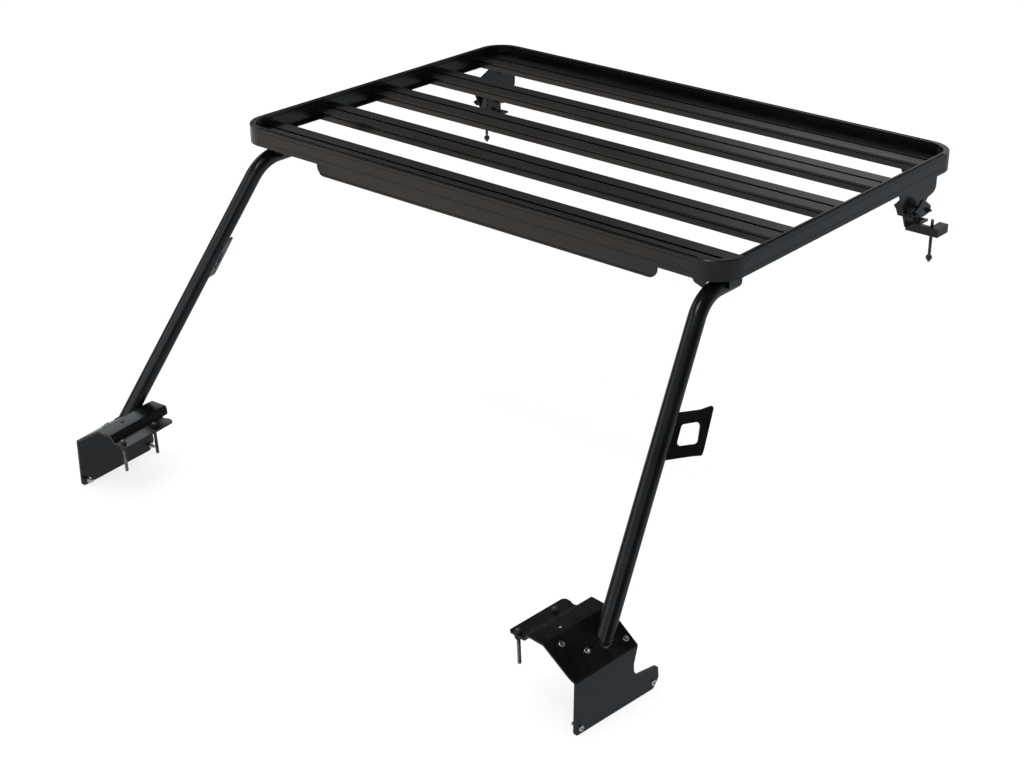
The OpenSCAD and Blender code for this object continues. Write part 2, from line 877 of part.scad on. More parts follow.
module left_jaw() {
    color(coat) placed()
        mirrored()
            jaw();
}

// level bolts through the side plate, two of them through the jaw, with nuts on both sides
module level_bolt(at, inner, outer, seat) {
    hex_over = jaw_nut_af / cos(180 / fn_hex);
    translate([clamp_x, at[0], -at[1]])
        rotate([0, 90, 0]) {
            translate([0, 0, -inner])
                cylinder(d = jaw_bolt_d, h = inner + outer, $fn = fn_bore);
            translate([0, 0, -clamp_t - jaw_nut_h])
                cylinder(d = hex_over, h = jaw_nut_h, $fn = fn_hex);
            translate([0, 0, seat])
                cylinder(d = hex_over, h = jaw_nut_h, $fn = fn_hex);
        }
}

module jaw_bolts() {
    seat = jaw_x + jaw_t - clamp_x;
    for (p = jaw_bolt_at)
        level_bolt(p, clamp_t + jaw_bolt_in, seat + 2 * jaw_nut_h, seat);
    level_bolt(web_bolt_at, clamp_t + 2 * jaw_nut_h, web_bolt_out, 0);
}

module right_jaw_bolts() {
    color(zinc) placed()
        jaw_bolts();
}

module left_jaw_bolts() {
    color(zinc) placed()
        mirrored()
            jaw_bolts();
}

// Arm: a folded channel with an open far side, cut away on top around the draw bolt
module arm() {
    low = -arm_top - arm_h;
    difference() {
        box([arm_in, arm_near, low], [arm_out, arm_far, -arm_top]);
        box([arm_in - overrun, arm_near + clamp_t, low + clamp_t],
            [arm_out - clamp_t, arm_far + overrun, -arm_top - clamp_t]);
        box([arm_gap_in, arm_near + clamp_t, low + clamp_t],
            [arm_gap_out, arm_far + overrun, overrun - arm_top]);
        rod([draw_x, draw_y, low - overrun], draw_d + 2 * fit, clamp_t + 2 * overrun);
    }
}

module right_arm() {
    color(coat) placed()
        arm();
}

module left_arm() {
    color(coat) placed()
        mirrored()
            arm();
}

// Draw bolt: a stud up through the arm with a nut on its floor
module draw_bolt() {
    floor_z = -arm_top - arm_h + clamp_t;
    translate([draw_x, draw_y, 0]) {
        translate([0, 0, floor_z])
            cylinder(d = nut_d, h = nut_h, $fn = fn_hex);
        translate([0, 0, -arm_top - draw_l])
            cylinder(d = draw_d, h = draw_l + draw_up, $fn = fn_bore);
    }
}

module right_draw_bolt() {
    color(zinc) placed()
        draw_bolt();
}

module left_draw_bolt() {
    color(zinc) placed()
        mirrored()
            draw_bolt();
}

module draw_nut() {
    translate([draw_x, draw_y, -arm_top - draw_nut_at - draw_nut_h])
        difference() {
            cylinder(d = nut_d, h = draw_nut_h, $fn = fn_hex);
            translate([0, 0, -overrun])
                cylinder(d = draw_d + fit, h = draw_nut_h + 2 * overrun, $fn = fn_bore);
        }
}

module right_draw_nut() {
    color(zinc) placed()
        draw_nut();
}

module left_draw_nut() {
    color(zinc) placed()
        mirrored()
            draw_nut();
}

near_rail();
far_rail();
left_rail();
right_rail();
near_left_corner();
near_right_corner();
far_left_corner();
far_right_corner();
slat_1();
slat_2();
slat_3();
slat_4();
slat_5();
tray_bolts();
wind_deflector();
left_leg();
right_leg();
left_leg_mount();
right_leg_mount();
left_loop();
right_loop();
left_cowl_bracket();
right_cowl_bracket();
left_cowl_studs();
right_cowl_studs();
left_cowl_bolts();
right_cowl_bolts();
left_side_plate();
right_side_plate();
left_jaw();
right_jaw();
left_jaw_bolts();
right_jaw_bolts();
left_arm();
right_arm();
left_draw_bolt();
right_draw_bolt();
left_draw_nut();
right_draw_nut();
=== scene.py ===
import math

import bmesh
import bpy
import numpy as np
from mathutils import Matrix, Vector


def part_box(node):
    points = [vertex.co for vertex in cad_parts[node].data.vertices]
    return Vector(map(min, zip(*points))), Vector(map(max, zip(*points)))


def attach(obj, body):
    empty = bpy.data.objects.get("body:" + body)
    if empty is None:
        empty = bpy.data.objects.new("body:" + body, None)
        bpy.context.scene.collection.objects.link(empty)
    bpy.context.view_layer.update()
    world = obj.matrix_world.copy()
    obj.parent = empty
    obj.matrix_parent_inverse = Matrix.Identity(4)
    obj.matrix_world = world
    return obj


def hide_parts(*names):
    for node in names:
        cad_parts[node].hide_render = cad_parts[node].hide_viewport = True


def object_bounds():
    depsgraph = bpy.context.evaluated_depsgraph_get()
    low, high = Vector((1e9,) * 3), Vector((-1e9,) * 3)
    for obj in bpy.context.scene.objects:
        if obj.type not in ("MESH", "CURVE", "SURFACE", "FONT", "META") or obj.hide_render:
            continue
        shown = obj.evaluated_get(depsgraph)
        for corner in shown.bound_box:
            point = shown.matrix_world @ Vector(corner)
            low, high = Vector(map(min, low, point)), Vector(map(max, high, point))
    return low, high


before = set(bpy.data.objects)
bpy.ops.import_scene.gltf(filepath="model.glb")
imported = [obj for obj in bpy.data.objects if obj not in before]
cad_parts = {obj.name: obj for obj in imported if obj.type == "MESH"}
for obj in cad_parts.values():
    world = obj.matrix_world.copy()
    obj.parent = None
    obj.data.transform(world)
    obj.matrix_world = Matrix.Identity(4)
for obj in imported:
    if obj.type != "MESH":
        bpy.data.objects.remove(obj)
cad_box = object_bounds()
mm = 0.001


# Rails and slats: hollow aluminium extrusions, cut to length and powder coated in satin black.
# The die leaves faint lines along each length, and the coat stands a little rounder on the edges.
class Wire:
    """One output of a material's nodes, so that shader maths reads as an expression."""

    def __init__(self, tree, socket):
        self.tree, self.socket = tree, socket

    def node(self, kind, settings=None, output=0, **values):
        """Any node, with its settings, and its inputs by name or, as i0 and i1, by number."""
        made = self.tree.nodes.new(kind)
        for name, value in (settings or {}).items():
            setattr(made, name, value)
        for name, value in values.items():
            key = int(name[1:]) if name[0] == "i" and name[1:].isdigit() else name.replace("_", " ")
            if isinstance(value, Wire):
                self.tree.links.new(value.socket, made.inputs[key])
            else:
                made.inputs[key].default_value = value
        return Wire(self.tree, made.outputs[output])

    def maths(self, how, other, swapped=False):
        first, second = (other, self) if swapped else (self, other)
        return self.node("ShaderNodeMath", {"operation": how}, i0=first, i1=second)

    def __add__(self, other):
        return self.maths("ADD", other)

    def __mul__(self, other):
        return self.maths("MULTIPLY", other)

    def __sub__(self, other):
        return self.maths("SUBTRACT", other)

    def __rsub__(self, other):
        return self.maths("SUBTRACT", other, swapped=True)

    def between(self, low, high):
        """0 below low, 1 above high and smooth from one to the other."""
        return self.node("ShaderNodeMapRange", {"interpolation_type": "SMOOTHSTEP"},
                         Value=self, From_Min=low, From_Max=high)

    def part(self, letter):
        return self.node("ShaderNodeSeparateXYZ", output="XYZ".index(letter), Vector=self)

    def stretched(self, x, y, z):
        return self.node("ShaderNodeMapping", Vector=self, Scale=(x, y, z))

    def noise(self, scale, detail=3.0, rough=0.55):
        return self.node("ShaderNodeTexNoise", Vector=self, Scale=scale, Detail=detail, Roughness=rough)

    def tint(self, low, high):
        """A colour between two, by this value."""
        made = self.tree.nodes.new("ShaderNodeMix")
        made.data_type = "RGBA"
        self.tree.links.new(self.socket, made.inputs[0])
        made.inputs[6].default_value = (*low, 1)
        made.inputs[7].default_value = (*high, 1)
        return Wire(self.tree, made.outputs[2])

    def relief(self, strength, depth):
        return self.node("ShaderNodeBump", Height=self, Strength=strength, Distance=depth)


def new_finish(name, **constants):
    """A material with a Principled shader, and the wire of its object coordinates."""
    finish = bpy.data.materials.new(name)
    finish.use_nodes = True
    tree = finish.node_tree
    shader = tree.nodes["Principled BSDF"]
    for socket, value in constants.items():
        shader.inputs[socket.replace("_", " ")].default_value = value
    places = tree.nodes.new("ShaderNodeTexCoord")
    return finish, shader, Wire(tree, places.outputs["Object"])


def feed(shader, socket, wire):
    wire.tree.links.new(wire.socket, shader.inputs[socket])


die_line, die_length = 420, 1.5
seam_half, seam_fade = 0.35 * mm, 0.4 * mm


def satin_coat(name, along, dark, light, shine, seams=()):
    """Satin powder coat over drawn metal: die lines run along the given axis (none on a casting), with
    painted shade in their low spots. Seams are (letter, place) pairs where the coated pieces meet with a dark
    line."""
    finish, shader, place = new_finish(name, IOR=1.5)
    lines = {"X": (die_length, die_line, die_line), "Y": (die_line, die_length, die_line),
             "none": (60, 60, 60)}[along]
    die = place.stretched(*lines).noise(1.0, 4.0, 0.6)
    cloud = place.noise(9.0, 4.0, 0.6)
    peel = place.noise(1400.0, 2.0, 0.5)
    # The tone follows the die lines and slow clouds, and is darker in the die lines' low spots as painted
    # shade.
    colour = (die * 0.55 + cloud * 0.45).between(0.36, 0.7)
    gap = None
    for letter, at in seams:
        off = place.part(letter) - at
        near = 1 - off.maths("ABSOLUTE", 0).between(seam_half, seam_half + seam_fade)
        gap = near if gap is None else gap.maths("MAXIMUM", near)
    if gap is not None:
        colour = colour * (1 - gap)
    feed(shader, "Base Color", colour.tint(dark, light))
    feed(shader, "Roughness", (die * 0.10 + cloud * 0.14) + (shine - 0.12))
    height = peel * 0.35 + die * 0.65
    if gap is not None:
        height = height - gap * 2
    feed(shader, "Normal", height.relief(0.25, 0.06 * mm))
    return finish


facet_angle, corner_join = 30, 0.004 * mm


def shading_group():
    """Geometry nodes that smooth the shading over shallow edges and keep the others sharp."""
    group = bpy.data.node_groups.new("smooth shading", "GeometryNodeTree")
    group.interface.new_socket("Geometry", in_out="INPUT", socket_type="NodeSocketGeometry")
    group.interface.new_socket("Geometry", in_out="OUTPUT", socket_type="NodeSocketGeometry")
    start, end = group.nodes.new("NodeGroupInput"), group.nodes.new("NodeGroupOutput")
    angle = group.nodes.new("GeometryNodeInputMeshEdgeAngle")
    shallow = group.nodes.new("FunctionNodeCompare")
    shallow.operation = "LESS_THAN"
    shallow.inputs[1].default_value = math.radians(facet_angle)
    faces = group.nodes.new("GeometryNodeSetShadeSmooth")
    edges = group.nodes.new("GeometryNodeSetShadeSmooth")
    edges.domain = "EDGE"
    group.links.new(start.outputs[0], faces.inputs["Geometry"])
    group.links.new(faces.outputs[0], edges.inputs["Geometry"])
    group.links.new(angle.outputs["Unsigned Angle"], shallow.inputs[0])
    group.links.new(shallow.outputs[0], edges.inputs["Shade Smooth"])
    group.links.new(edges.outputs[0], end.inputs[0])
    return group


smooth_group = shading_group()


def joined_shading(node):
    """Joins a CAD node's corners and smooths its shading, so that its round faces show no facets."""
    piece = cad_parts[node]
    join = piece.modifiers.new("join corners", "WELD")
    join.merge_threshold = corner_join
    shade = piece.modifiers.new("smooth shading", "NODES")
    shade.node_group = smooth_group
    return piece


def rounded_edges(node, width, angle=35):
    """The coat's soft edge on a CAD node: its sharp edges are bevelled."""
    edge = joined_shading(node).modifiers.new("soft edges", "BEVEL")
    edge.width, edge.segments = width, 2
    edge.limit_method, edge.angle_limit = "ANGLE", math.radians(angle)
    edge.use_clamp_overlap = True
    edge.harden_normals = True


def dress(node, finish):
    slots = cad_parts[node].data.materials
    slots.clear()
    slots.append(finish)


near_low, near_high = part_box("near_rail")
right_low, right_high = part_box("right_rail")
side_joints = [("X", near_low.x), ("X", near_high.x)]
end_joints = [("Y", right_low.y), ("Y", right_high.y)]
coat_dark, coat_light = (0.0013, 0.0012, 0.0012), (0.0038, 0.0036, 0.0034)
coat_along = satin_coat("rail coat, lengthwise", "X", coat_dark, coat_light, 0.29, side_joints)
coat_across = satin_coat("rail coat, crosswise", "Y", coat_dark, coat_light, 0.28, end_joints)
for node in ("near_rail", "far_rail"):
    dress(node, coat_along)
    rounded_edges(node, 0.35 * mm)
for node in ("left_rail", "right_rail"):
    dress(node, coat_across)
    rounded_edges(node, 0.35 * mm)

slat_coat = satin_coat("slat coat", "X", coat_dark, (0.0048, 0.0046, 0.0044), 0.25)
for node in ("slat_1", "slat_2", "slat_3", "slat_4", "slat_5"):
    dress(node, slat_coat)
    rounded_edges(node, 0.4 * mm)


# Corner castings: die-cast aluminium quarter rings that join the rails, powder coated with the rails.
# Their coat is smoother, without die lines, and each meets its rails at a fine seam.
cast_dark, cast_light = (0.0012, 0.0012, 0.0012), (0.0032, 0.0031, 0.0030)
corner_coat = satin_coat("corner coat", "none", cast_dark, cast_light, 0.27, side_joints + end_joints)
for node in ("near_left_corner", "near_right_corner", "far_left_corner", "far_right_corner"):
    dress(node, corner_coat)
    rounded_edges(node, 0.35 * mm, 50)


# Sheet pieces: the deflector, loops, cowl brackets, clamps and leg mounts are laser-cut and bent steel.
# Their powder coat has a fine grain and shows a little dust on the flats and small rubbed spots here and
# there.
def sheet_coat(name, dark, light, shine):
    """Powder coat on sheet: a fine grain, slow patches and small rubbed spots."""
    finish, shader, place = new_finish(name, IOR=1.5)
    grain = place.noise(1100.0, 3.0, 0.6)
    cloud = place.noise(14.0, 5.0, 0.6)
    rub = place.stretched(1.0, 3.0, 1.0).noise(60.0, 4.0, 0.7).between(0.62, 0.78)
    feed(shader, "Base Color", (cloud.between(0.35, 0.7) * 0.8 + rub * 0.2).tint(dark, light))
    feed(shader, "Roughness", cloud * 0.12 + grain * 0.06 + (shine - 0.09) + rub * 0.05)
    feed(shader, "Normal", (grain + cloud * 0.3).relief(0.2, 0.06 * mm))
    return finish


bracket_coat = sheet_coat("bracket coat", (0.0013, 0.0013, 0.0014), (0.0040, 0.0040, 0.0042), 0.27)
# The deflector wears the rails' satin black with die lines; its tone is painted lighter and warmer, as
# painted warm light on its front.
deflector_coat_painted_warm_light = satin_coat("deflector coat, painted warm light", "X", (0.0040, 0.0038, 0.0036), (0.0090, 0.0085, 0.0080), 0.30)
dress("wind_deflector", deflector_coat_painted_warm_light)
rounded_edges("wind_deflector", 0.35 * mm)
for side in ("left", "right"):
    for name in ("leg_mount", "loop", "cowl_bracket", "side_plate", "jaw", "arm"):
        dress(f"{side}_{name}", bracket_coat)
        rounded_edges(f"{side}_{name}", 0.45 * mm)


# Legs: one steel tube on each side, bent once on a mandrel and coated. The coat on a tube is smooth,
# with a fine peel and slow patches in its shine.
def tube_coat(name):
    """Powder coat on a tube: smooth, with a fine peel."""
    finish, shader, place = new_finish(name, IOR=1.5)
    peel = place.noise(700.0, 2.0, 0.5)
    cloud = place.noise(11.0, 4.0, 0.6)
    tone = cloud.between(0.3, 0.7).tint((0.0011, 0.0012, 0.0014), (0.0032, 0.0035, 0.0038))
    feed(shader, "Base Color", tone)
    feed(shader, "Roughness", cloud * 0.12 + peel * 0.04 + 0.21)
    feed(shader, "Normal", (peel * 0.7 + cloud * 0.3).relief(0.2, 0.05 * mm))
    return finish


leg_coat = tube_coat("leg coat")
for side in ("left", "right"):
    dress(f"{side}_leg", leg_coat)
    joined_shading(f"{side}_leg")


# Fasteners: zinc-plated steel. Bolt heads are forged with chamfered corners and threads are rolled,
# so each bolt and nut is turned here once and then copied to its place.
def zinc_plate(name, dark, light, shine):
    """Zinc plate: blotches and specks in its tone, and a metal shine."""
    finish, shader, place = new_finish(name, Metallic=1.0)
    swirl = place.noise(90.0, 4.0, 0.6)
    speck = place.noise(900.0, 3.0, 0.6)
    feed(shader, "Base Color", swirl.between(0.3, 0.7).tint(dark, light))
    feed(shader, "Roughness", swirl * 0.16 + speck * 0.06 + (shine - 0.11))
    feed(shader, "Normal", speck.relief(0.2, 0.03 * mm))
    return finish


def black_plate(name):
    """Black zinc plate: darker and duller than plain zinc."""
    finish, shader, place = new_finish(name, Metallic=0.6)
    swirl = place.noise(120.0, 4.0, 0.6)
    feed(shader, "Base Color", swirl.between(0.3, 0.7).tint((0.012, 0.012, 0.013), (0.05, 0.05, 0.05)))
    feed(shader, "Roughness", swirl * 0.2 + 0.28)
    feed(shader, "Normal", place.noise(900.0, 3.0, 0.6).relief(0.2, 0.03 * mm))
    return finish


# Heads and threads share one zinc plate; its tone is painted lighter on the heads as painted glints, and
# darker on the threads as painted shade.
glint_painted_head_zinc = zinc_plate("zinc on bolt heads, painted bright", (0.62, 0.62, 0.63), (0.80, 0.79, 0.77), 0.26)
shade_painted_thread_zinc = zinc_plate("zinc on rolled threads, painted dim", (0.30, 0.30, 0.31), (0.46, 0.45, 0.44), 0.40)
black_zinc = black_plate("black zinc plate")


def added(name):
    """The primitive that was just added, with its name."""
    piece = bpy.context.object
    piece.name = piece.data.name = name
    return piece


def deselect():
    bpy.ops.object.select_all(action="DESELECT")


def edit_faces(piece, test):
    """Opens the piece in edit mode with only the faces selected that pass the test of centre and normal."""
    deselect()
    bpy.context.view_layer.objects.active = piece
    piece.select_set(True)
    bpy.ops.object.mode_set(mode="EDIT")
    bpy.ops.mesh.select_mode(type="FACE")
    bpy.ops.mesh.select_all(action="DESELECT")
    work = bmesh.from_edit_mesh(piece.data)
    for face in work.faces:
        face.select_set(test(face.calc_center_median(), face.normal))
    bmesh.update_edit_mesh(piece.data)


def done():
    bpy.ops.object.mode_set(mode="OBJECT")


def cut(piece, tool, how):
    """Applies a Boolean of the tool to the piece, and removes the tool."""
    change = piece.modifiers.new(how.lower(), "BOOLEAN")
    change.operation, change.object, change.solver = how, tool, "EXACT"
    deselect()
    bpy.context.view_layer.objects.active = piece
    piece.select_set(True)
    bpy.ops.object.modifier_apply(modifier=change.name)
    bpy.data.objects.remove(tool)


def hexagon(name, across, height, base=0.0):
    """A hexagon prism up from its base, with the corners chamfered as on a nut or head."""
    reach = across / 2 / math.cos(math.pi / 6)
    deselect()
    bpy.ops.mesh.primitive_cylinder_add(vertices=6, radius=reach, depth=height,
                                        location=(0, 0, base + height / 2))
    prism = added(name)
    bpy.ops.object.transform_apply(location=True, rotation=True, scale=True)
    deselect()
    bpy.ops.mesh.primitive_cylinder_add(vertices=48, radius=reach, depth=height * 1.002,
                                        location=(0, 0, base + height / 2))
    lathe = added(name + " lathe")
    bpy.ops.object.transform_apply(location=True, rotation=True, scale=True)
    edit_faces(lathe, lambda centre, normal: normal.z > 0.9 or normal.z < -0.9)
    bpy.ops.mesh.bevel(offset=(reach - across / 2) * 0.95, segments=1, affect="EDGES")
    done()
    cut(prism, lathe, "INTERSECT")
    return prism


def rolled_thread(name, radius, pitch, low, high):
    """A helical thread between two heights, rolled up from one V of its profile, with chamfered ends."""
    root = radius - 0.6 * pitch
    deselect()
    bpy.ops.mesh.primitive_plane_add(size=pitch, location=(root, 0, low + pitch / 2),
                                     rotation=(math.pi / 2, 0, 0))
    thread = added(name)
    bpy.ops.object.transform_apply(location=True, rotation=True, scale=True)
    bpy.ops.object.mode_set(mode="EDIT")
    bpy.ops.mesh.select_mode(type="VERT")
    work = bmesh.from_edit_mesh(thread.data)
    for corner in work.verts:
        corner.select_set(corner.co.x > root)
    bmesh.update_edit_mesh(thread.data)
    bpy.ops.mesh.delete(type="VERT")
    bpy.ops.mesh.select_all(action="SELECT")
    bpy.ops.mesh.subdivide(number_cuts=3)
    work = bmesh.from_edit_mesh(thread.data)
    work.verts.ensure_lookup_table()
    for corner in work.verts:
        share = (corner.co.z - low) / pitch
        crest = min(1.0, max(0.0, 1.6 - abs(share - 0.5) * 4.2))
        corner.co.x = root + (radius - root) * crest
    bmesh.update_edit_mesh(thread.data)
    done()
    roll = thread.modifiers.new("roll", "SCREW")
    turns = int((high - low) / pitch) - 1
    roll.axis, roll.angle, roll.screw_offset = "Z", 2 * math.pi, pitch
    roll.steps = roll.render_steps = 18
    roll.iterations = turns
    roll.use_merge_vertices, roll.merge_threshold = True, 0.002 * mm
    bpy.ops.object.modifier_apply(modifier=roll.name)
    for end, at in ((low, 1), (high, -1)):
        deselect()
        bpy.ops.mesh.primitive_cylinder_add(vertices=32, radius=radius * 0.985, depth=2.4 * pitch,
                                            location=(0, 0, end + at * 1.2 * pitch))
        tip = added(name + " tip")
        bpy.ops.object.transform_apply(location=True, rotation=True, scale=True)
        edit_faces(tip, lambda centre, normal: normal.z * at < -0.9)
        bpy.ops.mesh.bevel(offset=0.7 * pitch, segments=2, affect="EDGES")
        done()
        join_into(thread, [tip])
    deselect()
    bpy.context.view_layer.objects.active = thread
    thread.select_set(True)
    bpy.ops.object.mode_set(mode="EDIT")
    bpy.ops.mesh.select_all(action="SELECT")
    bpy.ops.mesh.normals_make_consistent(inside=False)
    done()
    return thread


def join_into(piece, others):
    """Joins the other pieces into the first and gives it back."""
    deselect()
    for other in others:
        other.select_set(True)
    piece.select_set(True)
    bpy.context.view_layer.objects.active = piece
    bpy.ops.object.join()
    return piece


def washer(name, radius, height, base=0.0):
    """A flat washer up from its base, with its stamped edges rounded."""
    deselect()
    bpy.ops.mesh.primitive_cylinder_add(vertices=40, radius=radius, depth=height,
                                        location=(0, 0, base + height / 2))
    disc = added(name)
    bpy.ops.object.transform_apply(location=True, rotation=True, scale=True)
    edit_faces(disc, lambda centre, normal: abs(normal.z) > 0.9)
    bpy.ops.mesh.bevel(offset=0.25 * height, segments=2, affect="EDGES")
    done()
    return disc


def socket_button(name, radius, height, key):
    """A round button head up from its seat, with a hexagon socket in its crown."""
    deselect()
    bpy.ops.mesh.primitive_cylinder_add(vertices=48, radius=radius, depth=height, location=(0, 0, height / 2))
    head = added(name)
    bpy.ops.object.transform_apply(location=True, rotation=True, scale=True)
    edit_faces(head, lambda centre, normal: normal.z > 0.9)
    bpy.ops.mesh.bevel(offset=0.62 * height, segments=6, affect="EDGES")
    done()
    deselect()
    bpy.ops.mesh.primitive_cylinder_add(vertices=6, radius=key / 2 / math.cos(math.pi / 6), depth=height,
                                        location=(0, 0, height * 1.02))
    broach = added(name + " broach")
    bpy.ops.object.transform_apply(location=True, rotation=True, scale=True)
    cut(head, broach, "DIFFERENCE")
    return head


def solids_of(node):
    """The separate solids of a CAD node, each as an array of its corners."""
    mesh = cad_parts[node].data
    home = {}

    def root(key):
        while home[key] != key:
            home[key] = home[home[key]]
            key = home[key]
        return key

    keys = [tuple(round(v, 6) for v in vertex.co) for vertex in mesh.vertices]
    for key in keys:
        home.setdefault(key, key)
    for face in mesh.polygons:
        first = root(keys[face.vertices[0]])
        for corner in face.vertices[1:]:
            home[root(keys[corner])] = first
    groups = {}
    for key in home:
        groups.setdefault(root(key), []).append(key)
    return [np.array(points) for points in groups.values()]


def bolt_frame(points, hint):
    """Where a turned solid lies: its axis along the hint, and its two ends along that axis."""
    centre = (points.min(0) + points.max(0)) / 2
    values, vectors = np.linalg.eigh(np.cov((points - centre).T))
    spread = [abs(values[i] - values[(i + 1) % 3]) + abs(values[i] - values[(i + 2) % 3]) for i in range(3)]
    axis = vectors[:, int(np.argmax(spread))]
    if axis @ np.array(hint) < 0:
        axis = -axis
    along = (points - centre) @ axis
    rim = points - centre - np.outer(along, axis)
    middle = centre + (rim.min(0) + rim.max(0)) / 2
    return Vector(middle), Vector(axis), along.min(), along.max()


def place_of(middle, axis, height=0.0, spin=0.0):
    """The place of a turned piece: its middle, its axis, a shift along it and its turn about it."""
    turn = axis.to_track_quat("Z", "Y").to_matrix().to_4x4()
    return Matrix.Translation(middle + axis * height) @ turn @ Matrix.Rotation(spin, 4, "Z")


def copies(master, name, places):
    """One piece made of copies of the master at the places, each with its own mesh."""
    made = []
    for place in places:
        copy = master.copy()
        copy.data = master.data.copy()
        bpy.context.scene.collection.objects.link(copy)
        copy.data.transform(place)
        made.append(copy)
    first = made[0]
    if len(made) > 1:
        join_into(first, made[1:])
    first.name = first.data.name = name
    return first


def finished(piece, finish, slot, *nodes):
    """Coats a piece, smooths its shading, hangs it on the root body and hides the named nodes in its place.
    """
    piece.data.materials.clear()
    piece.data.materials.append(finish)
    deselect()
    bpy.context.view_layer.objects.active = piece
    piece.select_set(True)
    bpy.ops.object.shade_smooth_by_angle(angle=math.radians(32))
    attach(piece, "root")
    if nodes:
        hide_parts(*nodes)


# Foot welds: each leg stands on its bracket's slope in a fillet weld, laid round the tube in small
# overlapping ripples and coated with the rest.
bead_r, ripple, ripples, waves = 2.4 * mm, 0.3 * mm, 46, 7
foot_reach, tube_inner = 60 * mm, 17.5 * mm
for side in ("left", "right"):
    corners = np.array([tuple(vertex.co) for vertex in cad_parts[f"{side}_leg"].data.vertices])
    lowest = corners[corners[:, 2].argmin()]
    foot = corners[np.linalg.norm(corners - lowest, axis=1) < foot_reach]
    middle = (foot.min(0) + foot.max(0)) / 2
    ring = foot[np.linalg.norm(foot - middle, axis=1) > tube_inner]
    ring = np.unique(ring.round(6), axis=0)
    spread, ways = np.linalg.eigh(np.cov((ring - ring.mean(0)).T))
    along, up = Vector(ways[:, 2]), Vector(ways[:, 0])
    up = up if up.z > 0 else -up
    half_across, half_along = math.sqrt(2 * spread[1]), math.sqrt(2 * spread[2])
    deselect()
    bpy.ops.mesh.primitive_torus_add(major_radius=half_across, minor_radius=bead_r, major_segments=184,
                                     minor_segments=12, location=(0, 0, 0))
    bead = added(f"{side}_foot_weld")
    for corner in bead.data.vertices:
        turn = math.atan2(corner.co.y, corner.co.x)
        rim = Vector((math.cos(turn), math.sin(turn), 0)) * half_across
        swell = 1 + ripple / bead_r * (math.cos(turn * ripples) + 0.5 * math.cos(turn * waves))
        corner.co = rim + (corner.co - rim) * swell
        corner.co.x *= half_along / half_across
    frame_turn = Matrix((along, up.cross(along), up)).transposed().to_4x4()
    bead.data.transform(Matrix.Translation(Vector(ring.mean(0))) @ frame_turn)
    finished(bead, bracket_coat, "sheet_coat")


# Hanging studs of the cowl brackets: a threaded M8 stud under each end of the flange, zinc plated,
# with a black nut above the flange and a washer and nut below it.
stud_r, thread_pitch = 4 * mm, 1.25 * mm
plate_t, nut_across, nut_height, stud_past = 5 * mm, 13 * mm, 6.5 * mm, 2.5 * mm
washer_r, washer_t = 8.5 * mm, 1.6 * mm
middle, axis, foot, top = bolt_frame(solids_of("right_cowl_studs")[0], (0, 0, 1))
seat = top - stud_past - nut_height
for side in ("left", "right"):
    stud = rolled_thread("stud thread", stud_r, thread_pitch, foot, top)
    upper = hexagon("upper nut", nut_across, nut_height, seat)
    ring = washer("stud washer", washer_r, washer_t, seat - plate_t - washer_t)
    lower = hexagon("lower nut", nut_across, nut_height, seat - plate_t - washer_t - nut_height)
    nuts = join_into(upper, [ring, lower])
    places = []
    for turn, points in enumerate(solids_of(f"{side}_cowl_studs")):
        middle, axis, foot, top = bolt_frame(points, (0, 0, 1))
        places.append(place_of(middle, axis, 0.0, 0.4 + turn))
    studs = copies(stud, f"{side}_hanging_studs", places)
    holders = copies(nuts, f"{side}_stud_nuts", places)
    bpy.data.objects.remove(stud)
    bpy.data.objects.remove(nuts)
    finished(studs, shade_painted_thread_zinc, "zinc", f"{side}_cowl_studs")
    finished(holders, black_zinc, "zinc")


# Bracket bolts: button heads with a hexagon socket on the slope and the outer plate, with a nut behind.
# They are zinc plated, and each is turned a little differently, as a fitter leaves them.
button_r, button_height, socket_key, inside_box = 6.5 * mm, 4.2 * mm, 5 * mm, 0.1 * mm
for side in ("left", "right"):
    outward = 1 if side == "right" else -1
    groups = []
    for turn, points in enumerate(solids_of(f"{side}_cowl_bolts")):
        middle, axis, foot, top = bolt_frame(points, (outward, 0, 0.3))
        seat = top - button_height
        head = socket_button("button head", button_r, button_height - inside_box, socket_key)
        head.data.transform(Matrix.Translation((0, 0, seat)))
        thread = rolled_thread("bolt thread", stud_r, thread_pitch, foot, seat)
        nut = hexagon("bolt nut", nut_across, nut_height, seat - plate_t - nut_height)
        bolt = join_into(head, [thread, nut])
        bolt.data.transform(place_of(middle, axis, 0.0, 0.7 * turn))
        groups.append(bolt)
    bolts = join_into(groups[0], groups[1:])
    bolts.name = bolts.data.name = f"{side}_button_bolts"
    finished(bolts, glint_painted_head_zinc, "zinc", f"{side}_cowl_bolts")


# Tray bolts: hexagon heads on washers under the rails' feet, the leg mounts, the clamps and the deflector.
# They are black, and each head stands at the turn where it came tight.
tray_head_h = 5.3 * mm
head = hexagon("tray head", nut_across, tray_head_h)
ring = washer("tray washer", washer_r, washer_t, tray_head_h)
master = join_into(head, [ring])
places = []
for turn, points in enumerate(solids_of("tray_bolts")):
    middle, axis, foot, top = bolt_frame(points, (0, 0, 1))
    places.append(Matrix.Translation(middle + Vector((0, 0, foot))) @ Matrix.Rotation(0.9 * turn, 4, "Z"))
tray_bolts = copies(master, "tray_bolt_heads", places)
bpy.data.objects.remove(master)
finished(tray_bolts, black_zinc, "zinc", "tray_bolts")


